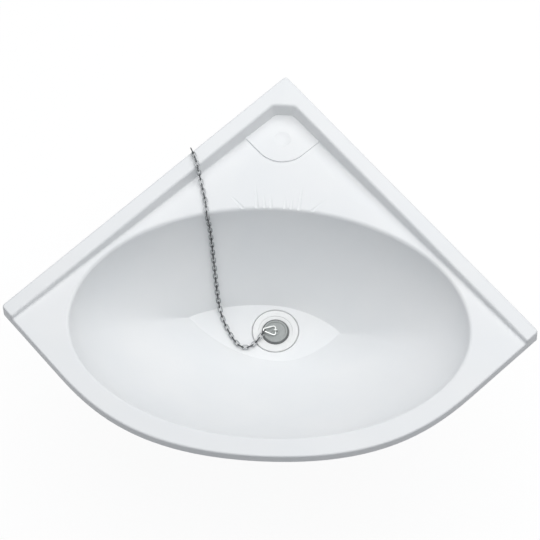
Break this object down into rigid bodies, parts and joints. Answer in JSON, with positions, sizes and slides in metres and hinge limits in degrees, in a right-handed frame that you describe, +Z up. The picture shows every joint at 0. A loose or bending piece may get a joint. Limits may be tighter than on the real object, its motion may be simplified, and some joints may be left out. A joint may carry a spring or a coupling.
{
  "type": "corner basin",
  "caption": "Thin moulded corner basin with a quarter-round deck, wall upstand, egg-shaped bowl, tap pad, bottom waste, loose plug and a plug chain.",
  "frame": {"origin": "wall corner: where the two wall planes meet, at the level of the rim's underside", "axes": "+Z up; +X along the front, to the right for a user who faces the wall corner; the basin lies on the -Y side, and +Y points into the wall corner"},
  "size_m": [0.5626, 0.4386, 0.241],
  "materials": {
    "white_shell": "smooth satin gloss, vacuum-formed sheet",
    "white_fitting": "gloss moulding",
    "grey_plug": "matte",
    "dark_rubber": "matte",
    "plug_wire": "bright drawn wire",
    "chain_chrome": "polished"
  },
  "bodies": {
    "basin": {"basin_shell": "white_shell", "waste_body": "white_fitting", "waste_top_seal": "dark_rubber", "waste_under_seal": "dark_rubber", "slip_washer": "white_fitting", "waste_backnut": "white_fitting", "tail_seal": "dark_rubber", "union_nut": "white_fitting", "outlet_spigot": "white_fitting", "plug_chain": "chain_chrome"},
    "plug": {"plug_body": "grey_plug", "plug_seal": "dark_rubber", "plug_eye": "plug_wire", "chain_lead": "chain_chrome"},
    "link": {"plug_triangle": "plug_wire"}
  },
  "joints": [
    {"name": "plug_lift", "type": "slide", "parent": "basin", "child": "plug", "axis": [0, 0, 1], "range_m": [0, 0.02], "deforming": ["plug_chain"]},
    {"name": "link_swing", "type": "hinge", "parent": "plug", "child": "link", "pos_m": [0, -0.231, -0.1175], "axis": [-0.061, 0.9981, 0], "range_deg": [0, 79], "deforming": ["chain_lead"]}
  ]
}
